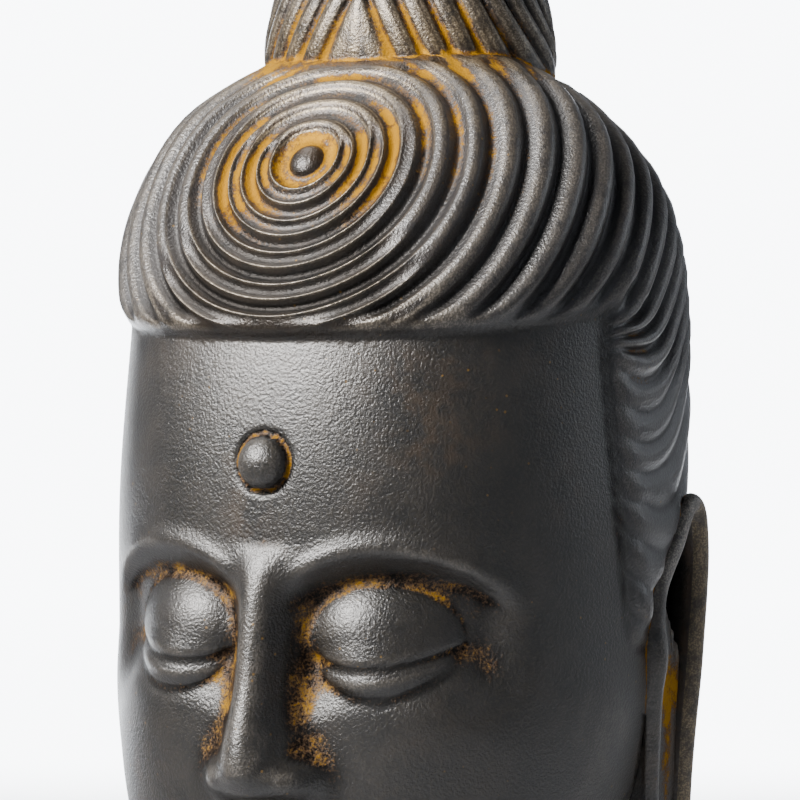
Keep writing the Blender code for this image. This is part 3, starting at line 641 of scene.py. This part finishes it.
def ear_plane(y, z):
    """How far out the middle of the ear's rim stands at each place."""
    down = (HAIRLINE - EAR_TOP_DROP - z) / EAR_LENGTH
    return EAR_PLANE + EAR_FLARE * y - EAR_TUCK * smooth(0.35, 0.80, down)


def side_of_head(y, z):
    """How far out the bare head's side lies at each place."""
    start = np.stack([np.zeros_like(y), y, z], axis=-1)
    ray = np.broadcast_to(np.array([1.0, 0.0, 0.0]), start.shape)
    return skin_along(start, ray)[..., 0]


def ear_surface(side):
    """A long ear: a rim carried round its outline, a hollow floor inside it and a root behind it.

    The rim is a tube that swells where the front of it ends in a rounded tongue. The floor lies
    deep behind and high up, and comes up towards the front and the lobe.
    """
    turn = 2 * pi * np.arange(EAR_COLUMNS) / EAR_COLUMNS
    fall = np.minimum(turn, 2 * pi - turn)
    down = 0.5 * (1.0 - np.cos(fall))
    front, back = ear_edges(fall)
    ahead = turn > pi
    edge_y = np.where(ahead, front, back)
    edge_z = HAIRLINE - EAR_TOP_DROP - EAR_LENGTH * down
    for _ in range(3):
        edge_y = 0.25 * np.roll(edge_y, 1) + 0.5 * edge_y + 0.25 * np.roll(edge_y, -1)
    step_y = np.roll(edge_y, -1) - np.roll(edge_y, 1)
    step_z = np.roll(edge_z, -1) - np.roll(edge_z, 1)
    length = np.hypot(step_y, step_z)
    inward_y, inward_z = step_z / length, -step_y / length
    tongue = ahead * bell(fall - 1.30, 0.16)
    branch = ahead * smooth(0.45, 0.7, fall) * (1.0 - smooth(1.5, 1.8, fall))
    thin = EAR_RIM * (1.0 - 0.12 * smooth(0.45, 0.75, down) + 0.08 * branch + 0.28 * tongue)
    middle_y, middle_z = 0.012, HAIRLINE - EAR_TOP_DROP - 0.45 * EAR_LENGTH
    rings = []
    depths = []
    for share in EAR_SHARES:
        inner_y = edge_y + thin * inward_y
        inner_z = edge_z + thin * inward_z
        y = middle_y + (inner_y - middle_y) * share
        z = middle_z + (inner_z - middle_z) * share
        place, fallen = ear_place(y, z)
        deep = EAR_HOLLOW * (1.0 - 0.55 * smooth(0.35, 0.75, fallen))
        upper = 1.0 - smooth(0.20, 0.40, fallen)
        deep = deep * (0.18 + 0.82 * smooth(0.80, 0.93, place + 0.5 * upper))
        depths.append(deep * (1.0 - smooth(0.90, 1.0, share)))
        rings.append((y, z, ear_plane(y, z) - depths[-1]))
    for bend in np.linspace(0.0, pi, RIM_ROWS):
        y = edge_y + thin * inward_y * cos(bend)
        z = edge_z + thin * inward_z * cos(bend)
        rings.append((y, z, ear_plane(y, z) + (thin + 0.0015 * tongue) * sin(bend)))
    for share in np.linspace(0.0, 1.0, 8)[1:]:
        inward = thin * ((1.6 - 1.3 * ahead * smooth(0.12, 0.30, down)) * share - 1.0)
        y = edge_y + inward_y * inward
        z = edge_z + inward_z * inward
        outer = ear_plane(edge_y, edge_z)
        thick = outer - side_of_head(y, z) + EAR_ROOT
        thick = np.minimum(thick, 0.024 - 0.0145 * smooth(0.60, 0.80, down))
        rings.append((y, z, outer - thick * share ** 1.3))
    points = np.array([np.stack([side * x, y, z], axis=-1) for y, z, x in rings])
    hollow = np.zeros(points.shape[:2])
    hollow[:len(depths)] = np.array(depths) / EAR_HOLLOW
    # The rim's tube takes the pale crest colour, partly as wear and partly as a painted highlight,
    # most on its back.
    rubbed_and_highlight = np.zeros(points.shape[:2])
    rubbed_and_highlight[len(depths):len(depths) + RIM_ROWS] = 1.9 - 1.5 * ahead * smooth(0.1, 0.3, down)
    marks = marks_for(points, arris=rubbed_and_highlight, hollow=hollow)
    if side < 0:
        points = points[:, ::-1]
        marks = {name: values[:, ::-1] for name, values in marks.items()}
    return points, marks


def edge_ends(mesh):
    """The numbers of the two vertices of each edge."""
    pairs = np.empty(len(mesh.edges) * 2, np.int32)
    mesh.edges.foreach_get("vertices", pairs)
    return pairs.reshape(-1, 2).T


def drop_crumbs(mesh, fewest):
    """Remove loose shells of fewer vertices, which a union can leave where two surfaces graze.

    Each vertex takes the lowest number among its neighbours until nothing changes, so that a shell
    is all that shares a number.
    """
    first, second = edge_ends(mesh)
    shell = np.arange(len(mesh.vertices))
    changed = True
    while changed:
        lowest = np.minimum(shell[first], shell[second])
        lower = shell.copy()
        np.minimum.at(lower, first, lowest)
        np.minimum.at(lower, second, lowest)
        lower = lower[lower]
        changed = bool((lower != shell).any())
        shell = lower
    crumbs = np.nonzero(np.bincount(shell, minlength=len(shell))[shell] < fewest)[0]
    shape = bmesh.new()
    shape.from_mesh(mesh)
    shape.verts.ensure_lookup_table()
    bmesh.ops.delete(shape, geom=[shape.verts[number] for number in crumbs], context="VERTS")
    shape.to_mesh(mesh)
    shape.free()


def join(body, tools):
    """Make one mesh of the head and what was modelled beside it."""
    for tool in tools:
        union = body.modifiers.new("join_" + tool.name, "BOOLEAN")
        union.operation = "UNION"
        union.solver = "MANIFOLD"
        union.object = tool
    bpy.context.view_layer.update()
    joined = body.evaluated_get(bpy.context.evaluated_depsgraph_get())
    whole = bpy.data.meshes.new_from_object(joined)
    body.modifiers.clear()
    drop_crumbs(whole, FEWEST_VERTICES)
    body.data = whole
    for tool in tools:
        bpy.data.objects.remove(tool)


def triples(items, field):
    """A field of three numbers, as one row for each item."""
    values = np.empty(len(items) * 3, np.float32)
    items.foreach_get(field, values)
    return values.reshape(-1, 3)


def centre(piece):
    """Move the mesh so that its box is as far ahead of the origin as behind it. Gives the move."""
    places = triples(piece.data.vertices, "co")
    shift = -0.5 * (places[:, 1].min() + places[:, 1].max())
    places[:, 1] += shift
    piece.data.vertices.foreach_set("co", places.ravel())
    piece.data.update()
    return float(shift)


def read_mark(mesh, mark):
    """A mark's number on each vertex."""
    values = np.empty(len(mesh.vertices), np.float32)
    mesh.attributes[mark].data.foreach_get("value", values)
    return values.astype(float)


def write_mark(mesh, mark, values):
    """Put a number on each vertex, as a mark that the patina can read."""
    layer = mesh.attributes.get(mark) or mesh.attributes.new(mark, "FLOAT", "POINT")
    layer.data.foreach_set("value", values.astype(np.float32))


def settled(values, ends, weight, rounds):
    """Values on the vertices after some rounds of averaging with their neighbours."""
    first, second = ends
    count = len(values)
    total = np.bincount(first, weight, count) + np.bincount(second, weight, count)
    for _ in range(rounds):
        near = np.stack([np.bincount(first, weight * values[second, k], count)
                         + np.bincount(second, weight * values[first, k], count)
                         for k in range(values.shape[1])], axis=-1)
        values = 0.5 * values + 0.5 * near / total[:, None]
    return values


def wear_marks(mesh):
    """Marks that say how deep in a groove, or high on a crest, each point lies. Gives the points.

    A point in a groove lies inside the surface that is left when its neighbours are averaged, and
    a point on a crest lies outside it. The fewer the rounds, the finer the grooves that count.
    """
    places = triples(mesh.vertices, "co").astype(float)
    normals = triples(mesh.vertex_normals, "vector")
    ends = edge_ends(mesh)
    weight = 1.0 / np.maximum(np.linalg.norm(places[ends[0]] - places[ends[1]], axis=1), 0.0002)
    fine = settled(places, ends, weight, 8)
    wide = settled(fine, ends, weight, 60)
    write_mark(mesh, "fine_groove", ((fine - places) * normals).sum(axis=1) / FINE_DEPTH)
    write_mark(mesh, "groove_depth", ((wide - places) * normals).sum(axis=1) / WIDE_DEPTH)
    return places


def where_stained(mesh, places, shift):
    """Marks for the patina, region by region.

    They say how much ochre was left when the cast was wiped and how fat it lies in the grooves,
    where the metal is stained brown (on the ear's rear rim partly as painted light), where shade
    is painted into the ear's hollow, and where painted shade is left off.
    """
    level, turn = read_mark(mesh, "level"), read_mark(mesh, "turn")
    sunk = read_mark(mesh, "hollow")
    x, y, z = places[:, 0], places[:, 1] - shift, places[:, 2]
    rise = z - HAIRLINE
    angle = np.arctan2(np.abs(x), -y)
    share, fallen = ear_place(y, z)
    on_head = level < OFF_STRANDS - 1.0
    joined = ~on_head

    upper = 0.5 - 0.5 * np.cos(turn - radians(10.0))
    sides = np.sin(turn - radians(15.0)) ** 2
    outer = (1.0 - smooth(1.4 + 1.2 * upper, 2.4 + 2.4 * upper, level)) * (0.25 + 0.75 * sides)
    whorl = np.maximum(1.0 - smooth(0.3, 0.7, level), outer)
    trail = 0.45 * bell(turn - radians(125.0), radians(45.0)) * (1.0 - smooth(4.0, 9.0, level))
    trail = trail * (level > 0.0)
    knot = smooth(0.100, 0.112, rise) * (0.45 + 0.55 * (1.0 - smooth(0.120, 0.150, rise)))
    knot = knot * (1.0 - 0.70 * smooth(0.7, 1.6, angle))
    below = smooth(0.03, 0.05, -rise) * (1.0 - smooth(0.105, 0.125, -rise))
    corner = (bell(angle - radians(76.0), radians(8.0))
              * (0.7 * bell(rise + 0.012, 0.018) + 0.35 * below))
    patch = bell(fallen - 0.46, 0.11) * (1.0 - smooth(0.76, 0.90, share))
    strip = smooth(0.44, 0.50, fallen) * (1.0 - smooth(0.80, 0.90, fallen))
    strip = strip * bell(share - 0.56, 0.19)
    ear = smooth(0.03, 0.10, sunk) * np.maximum(patch, 0.9 * strip)
    boss = bell(from_boss(x, z) - 1.08, 0.09) * smooth(0.0, 0.05, -y)
    creases = 0.33 * smooth(0.05, 0.08, -y) * smooth(0.070, 0.085, -rise) * on_head
    gilt = np.maximum.reduce([whorl, trail, knot, corner, ear, 0.70 * boss, creases])
    write_mark(mesh, "gilt", np.clip(gilt, 0.0, 1.0))

    off = level - np.round(level)
    rings = np.where(level < 0.5, bell(level - 0.02, 0.30) * (level > -0.5),
                     bell(off - 0.07, 0.15) * (level < 12.0))
    flutes = read_mark(mesh, "flute") * joined
    seat = bell(rise - KNOT_SEAT - 0.001, 0.0055)
    seat = seat * (0.35 + 0.65 * smooth(0.2, -0.9, np.arctan2(x, -y)))
    write_mark(mesh, "lying", np.clip(np.maximum.reduce([ear, rings, flutes, seat]), 0.0, 1.0))

    near_whorl = (1.0 - smooth(3.0, 9.0, level)) * (0.4 + 0.6 * upper)
    rim_line = bell(sunk - 0.22, 0.14) * smooth(0.5, 0.7, share) * smooth(0.06, 0.14, fallen)
    # The back of the ear's rim takes the brown partly as its own colour, partly as painted light
    # that lifts it where the lamps leave it dark.
    rim = joined * (rise < 0.0) * smooth(0.55, 0.72, share) * (1.0 - smooth(0.02, 0.12, sunk))
    beside_ear = bell(share + 0.22, 0.13) * smooth(-0.12, 0.0, fallen)
    beside_ear = beside_ear * (1.0 - smooth(0.35, 0.50, fallen)) * on_head * smooth(1.2, 1.4, angle)
    stain_and_rim_lift = [0.8 * near_whorl, 0.8 * knot, 1.5 * rim_line, 0.75 * rim, 1.3 * beside_ear]
    write_mark(mesh, "stain_and_rim_lift", np.clip(np.maximum.reduce(stain_and_rim_lift), 0.0, 1.5))

    # Just under the hairline no shade is painted.
    unshaded = bell(rise - hairline_edge(angle) + 0.003, 0.007) * (1.0 - smooth(1.1, 1.35, angle))
    write_mark(mesh, "unshaded", unshaded)
    # Painted shade in the ear's hollow.
    write_mark(mesh, "shade", smooth(0.22, 0.55, sunk))


def camera(shift):
    """The camera, level with the ends of the hairline, looking slightly down."""
    yaw = (AXIS_COLUMN - 0.5 * PICTURE) / FOCUS
    pitch = np.arctan((0.5 * PICTURE - HORIZON_ROW) / FOCUS)
    data = bpy.data.cameras.new("camera")
    data.sensor_width = SENSOR
    data.lens = FOCUS * SENSOR / PICTURE
    eye = add_object("camera", data)
    eye.location = (sin(CAMERA_AZIMUTH) * CAMERA_DISTANCE,
                    shift - cos(CAMERA_AZIMUTH) * CAMERA_DISTANCE, HAIRLINE + HAIRLINE_LIFT)
    eye.rotation_euler = (pi / 2 - pitch, 0.0, CAMERA_AZIMUTH + yaw)
    bpy.context.scene.camera = eye


def sweep():
    """A pale floor that curves up all round into a wall, bright behind the head.

    It is a profile turned round the axis: flat to the floor's reach, a quarter circle, and
    straight up.
    """
    turn = 2 * pi * np.arange(96)[None, :] / 96
    bend = np.linspace(0.0, pi / 2, 9)[1:]
    wall = FLOOR_REACH + BEND_RADIUS
    flat = [0.02, 0.5, 1.0, 1.6, FLOOR_REACH]
    reach = np.concatenate([flat, FLOOR_REACH + BEND_RADIUS * np.sin(bend), [wall, wall]])[:, None]
    curve = BEND_RADIUS * (1.0 - np.cos(bend))
    rise = np.concatenate([np.zeros(len(flat)), curve, [2.0, WALL_HEIGHT]])
    rise = np.broadcast_to(rise[:, None], (len(rise), turn.size))
    points = np.stack([reach * np.cos(turn), reach * np.sin(turn), rise], axis=-1)
    corner, _, quads = ring_faces(points)
    mesh = bpy.data.meshes.new("floor")
    middle = corner[0, ::-1].tolist()
    mesh.from_pydata(points.reshape(-1, 3).tolist(), [], quads.tolist() + [middle])
    mesh.shade_smooth()
    piece = add_object("floor", mesh)
    paint = Finish("pale_floor")
    behind = paint.along((-sin(CAMERA_AZIMUTH), cos(CAMERA_AZIMUTH), 0.0))
    aside = paint.along((cos(CAMERA_AZIMUTH), sin(CAMERA_AZIMUTH), 0.0)) + 0.20
    height = paint.along((0.0, 0.0, 1.0))
    bright = behind.rise(0.45, 0.95) * (1.0 - (aside * aside).rise(0.70, 1.4))
    bright = bright * (1.0 - height.rise(1.0, 1.35))
    glow = paint.mix(bright, (0.0, 0.0, 0.0), GLOW)
    paint.set(Base_Color=(*PALE_GREY, 1.0), Roughness=0.9, Emission_Color=glow,
              Emission_Strength=SWEEP_GLOW)
    mesh.materials.append(paint.material)


def area_light(name, place, aim, size, power, colour):
    """A soft lamp behind a grid that narrows its beam, aimed at a height on the head's axis."""
    data = bpy.data.lights.new(name, "AREA")
    data.shape = "RECTANGLE"
    data.size, data.size_y = size
    data.energy = power
    data.color = colour
    data.spread = LAMP_BEAM
    lamp = add_object(name, data)
    lamp.location = place
    beam = Vector((0.0, 0.0, aim)) - Vector(place)
    lamp.rotation_euler = beam.to_track_quat("-Z", "Y").to_euler()


def room():
    """A faint even light from all round."""
    world = bpy.data.worlds.new("room")
    world.use_nodes = True
    air = world.node_tree.nodes["Background"].inputs
    air["Color"].default_value = (*ROOM_COLOUR, 1.0)
    air["Strength"].default_value = ROOM_LIGHT
    bpy.context.scene.world = world


class Signal:
    """A value in a shader. Plain arithmetic on it adds the Math nodes that work it out."""

    def __init__(self, tree, socket):
        self.tree = tree
        self.socket = socket

    def math(self, operation, *values):
        settings = {"operation": operation}
        return add_node(self.tree, "ShaderNodeMath", settings, dict(enumerate(values)), 0)

    def __add__(self, other):
        return self.math("ADD", self, other)

    def __sub__(self, other):
        return self.math("SUBTRACT", self, other)

    def __rsub__(self, other):
        return self.math("SUBTRACT", other, self)

    def __mul__(self, other):
        return self.math("MULTIPLY", self, other)

    __radd__ = __add__
    __rmul__ = __mul__

    def least(self, other):
        return self.math("MINIMUM", self, other)

    def most(self, other):
        return self.math("MAXIMUM", self, other)

    def rise(self, low, high):
        """0 below low, 1 above high, and an S-shaped rise between."""
        settings = {"interpolation_type": "SMOOTHSTEP"}
        sockets = {"Value": self, "From Min": low, "From Max": high}
        return add_node(self.tree, "ShaderNodeMapRange", settings, sockets, "Result")


def feed(tree, socket, value):
    """Link a signal to a socket, or set the socket to a plain value."""
    if isinstance(value, Signal):
        tree.links.new(value.socket, socket)
    else:
        socket.default_value = value


def add_node(tree, kind, settings, sockets, output):
    """The output of a new node of a type, with its settings and what its sockets take."""
    made = tree.nodes.new(kind)
    for setting, value in settings.items():
        setattr(made, setting, value)
    for name, value in sockets.items():
        feed(tree, made.inputs[name], value)
    return Signal(tree, made.outputs[output])


class Finish:
    """A material and the nodes that make it."""

    def __init__(self, name):
        self.material = bpy.data.materials.new(name)
        self.material.use_nodes = True
        self.tree = self.material.node_tree
        self.shader = self.tree.nodes["Principled BSDF"]

    def node(self, kind, settings, sockets, output):
        """A node in this material."""
        return add_node(self.tree, kind, settings, sockets, output)

    def place(self):
        """The place on the piece, in its own coordinates."""
        return self.node("ShaderNodeTexCoord", {}, {}, "Object")

    def along(self, direction):
        """How far along a direction each place lies."""
        return self.node("ShaderNodeVectorMath", {"operation": "DOT_PRODUCT"},
                         {0: self.place(), 1: direction}, "Value")

    def mark(self, name):
        """One of the numbers on the vertices."""
        return self.node("ShaderNodeAttribute", {"attribute_name": name}, {}, "Fac")

    def noise(self, size, detail=2.0, rough=0.5):
        """A cloud pattern whose patches are about this many metres across."""
        sockets = {"Vector": self.place(), "Scale": 1.0 / size, "Detail": detail,
                   "Roughness": rough}
        return self.node("ShaderNodeTexNoise", {}, sockets, "Fac")

    def specks(self, size):
        """Distance from the nearest of many scattered points, in shares of their spacing."""
        sockets = {"Vector": self.place(), "Scale": 1.0 / size}
        return self.node("ShaderNodeTexVoronoi", {}, sockets, "Distance")

    def mix(self, share, first, second):
        """A colour between two colours."""
        ends = [end if isinstance(end, Signal) else (*end, 1.0) for end in (first, second)]
        sockets = {0: share, 6: ends[0], 7: ends[1]}
        return self.node("ShaderNodeMix", {"data_type": "RGBA"}, sockets, 2)

    def bump(self, height, strength, distance, below=None):
        """A normal that leans as this height does, over the one below it."""
        sockets = {"Height": height, "Strength": strength, "Distance": distance}
        if below is not None:
            sockets["Normal"] = below
        return self.node("ShaderNodeBump", {}, sockets, "Normal")

    def set(self, **values):
        """Feed the shader's sockets."""
        for name, value in values.items():
            feed(self.tree, self.shader.inputs[name.replace("_", " ")], value)


# Colours of the floor and of the patina, as linear light
PALE_GREY = (0.40, 0.41, 0.43)
GLOW = (0.93, 0.96, 1.0)
CHARCOAL = (0.0065, 0.0058, 0.0052)
GREY_BROWN = (0.016, 0.0132, 0.0108)
EARTH = (0.036, 0.030, 0.020)
# Lighter blue-grey of the rolls, partly their own tone, partly painted cool fill light
ROLL_GREY_AND_FILL = (0.020, 0.0195, 0.0215)
BROWN = (0.050, 0.028, 0.012)
# Pale crest colours, partly wear and partly a painted highlight
WORN_AND_HIGHLIGHT = (0.40, 0.36, 0.31)
RUBBED_AND_HIGHLIGHT = (0.42, 0.32, 0.17)
OCHRE = (0.37, 0.190, 0.003)
DEEP_OCHRE = (0.13, 0.053, 0.003)
# Near-black painted into grooves and hollows as painted shade
PAINTED_GROOVE_SHADE = (0.003, 0.0025, 0.0022)


def patina():
    """Dark cast surface: satin, grainy, pale on its crests from wear and a painted highlight,
    with ochre left in its grooves and shade painted into them.
    """
    cast = Finish("patina")
    broad = cast.noise(0.060, 3.0)
    cloud = cast.noise(0.018, 5.0, 0.6)
    patch = cast.noise(0.009, 5.0, 0.65)
    grain = cast.noise(0.0012, 2.0, 0.6)
    dust = cast.noise(0.0008, 1.0, 0.5)
    hair = cast.mark("hair")
    bold = cast.mark("bold")
    stain_and_rim_lift_mark = cast.mark("stain_and_rim_lift")
    crest = cast.mark("arris").most((cast.mark("fine_groove") * -1.0).rise(0.4, 1.8) * 0.55)
    groove = cast.mark("fine_groove").rise(0.1, 1.1)
    deep = cast.mark("groove_depth").rise(-0.1, 1.2)
    # Painted shade: the colour goes near-black in fine and wide grooves and the ear's hollow, less
    # on the rolls and not just under the hairline.
    painted_shade = (groove * 0.45 + deep * 0.40 + cast.mark("shade") * 0.55).least(0.9)
    painted_shade = painted_shade * (1.0 - 0.70 * bold) * (1.0 - 0.9 * cast.mark("unshaded"))

    colour = cast.mix(cloud.rise(0.35, 0.68), CHARCOAL, GREY_BROWN)
    stain_and_rim_lift = broad.rise(0.50, 0.72) * patch.rise(0.42, 0.60) * 0.5
    # The stain mark brings in the brown stains, and on the ear's rear rim a painted lift of light.
    stain_and_rim_lift = stain_and_rim_lift.most(stain_and_rim_lift_mark * patch.rise(0.25, 0.60)).least(1.0)
    colour = cast.mix(stain_and_rim_lift, colour, BROWN)
    colour = cast.mix(grain.rise(0.45, 0.65) * 0.40, colour, EARTH)
    # Painted cool fill: the rolls at the sides and behind are lightened to blue-grey, partly their
    # own tone, partly painted light.
    colour = cast.mix(bold * 0.7, colour, ROLL_GREY_AND_FILL)
    colour = cast.mix(painted_shade, colour, PAINTED_GROOVE_SHADE)
    # Pale crest lines, partly rubbed wear and partly a painted highlight; their metallic below
    # brightens the glint.
    worn_and_highlight = crest * (0.30 + 0.70 * patch.rise(0.34, 0.56)) * (0.35 + 0.65 * dust.rise(0.44, 0.62))
    worn_and_highlight = worn_and_highlight * (0.35 + 0.65 * hair) * (1.0 - 0.6 * bold)
    colour = cast.mix(worn_and_highlight, colour, cast.mix(stain_and_rim_lift_mark.least(1.0), WORN_AND_HIGHLIGHT, RUBBED_AND_HIGHLIGHT))

    lie = cast.mark("lying").most(deep * 0.9 + groove * 0.45) - 0.45 * crest
    left = cast.mark("gilt") * lie * (patch * 2.6 - 0.32)
    thin = (left * 1.2 + (grain - 0.5) * 0.9 + (dust - 0.5) * 0.6).rise(0.26, 1.0)
    fat = (left * 1.1 + (patch - 0.5) * 1.6 + (grain - 0.5) * 1.2).rise(0.40, 1.10)
    colour = cast.mix(thin, colour, cast.mix(fat, DEEP_OCHRE, OCHRE))
    fleck = cast.noise(0.05, 2.0).rise(0.45, 0.65) * (0.10 - cast.specks(0.0060)).rise(0.0, 0.02)
    colour = cast.mix(fleck * 0.35, colour, OCHRE)

    rough = 0.30 + 0.08 * cloud + 0.10 * dust - 0.03 * hair + 0.34 * thin + 0.10 * groove
    # The metallic share over near-black colour also takes reflection out of the painted shade; on
    # the hair it dulls the finish.
    bare = painted_shade.most(0.45 * hair * (1.0 - bold)) * (1.0 - thin)
    metal = bare.most(0.6 * worn_and_highlight).most(0.85 * thin)
    peel = cast.bump(cast.noise(0.0026, 3.0, 0.6) * (1.0 - 0.6 * hair), 0.25, 0.0005)
    grainy = cast.bump(grain * (1.0 - 0.15 * hair), 0.8, 0.00048, peel)
    cast.set(Base_Color=colour, Roughness=rough, Metallic=metal, Normal=grainy)
    cast.shader.inputs["Specular IOR Level"].default_value = 1.0
    return cast.material


head = surface_object("head", *head_surface())
tools = [surface_object("topknot", *knot_surface()), surface_object("ear_left", *ear_surface(1.0)),
         surface_object("ear_right", *ear_surface(-1.0))]
join(head, tools)
shift = centre(head)
head.data.materials.clear()
head.data.materials.append(patina())
head.data.polygons.foreach_set("material_index", np.zeros(len(head.data.polygons), np.int32))
head.data.shade_smooth()
where_stained(head.data, wear_marks(head.data), shift)
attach(head, "root")
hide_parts("buddha_head")

sweep()
camera(shift)
for lamp in LAMPS:
    area_light(*lamp)
room()
